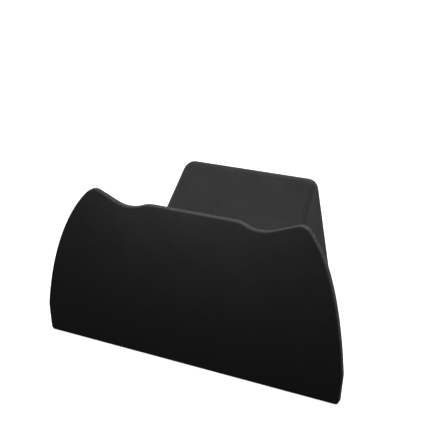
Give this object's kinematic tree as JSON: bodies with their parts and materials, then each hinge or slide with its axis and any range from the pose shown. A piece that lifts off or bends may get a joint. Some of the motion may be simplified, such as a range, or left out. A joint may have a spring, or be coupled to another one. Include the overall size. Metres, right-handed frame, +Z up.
{
  "type": "controller stand",
  "caption": "One-piece desk stand for a game controller: a curved front shield with an eared, notched top edge, and a hollow cradle with a trough and a rest behind it.",
  "frame": {"origin": "on the table, under the middle of the stand's bounding box", "axes": "+X to the right as the shield is seen, +Y from the shield to the rear leg, +Z up"},
  "size_m": [0.1166, 0.072, 0.0568],
  "materials": {
    "black_plastic": "fine matte grain"
  },
  "bodies": {
    "root": {"stand": "black_plastic"}
  },
  "joints": []
}
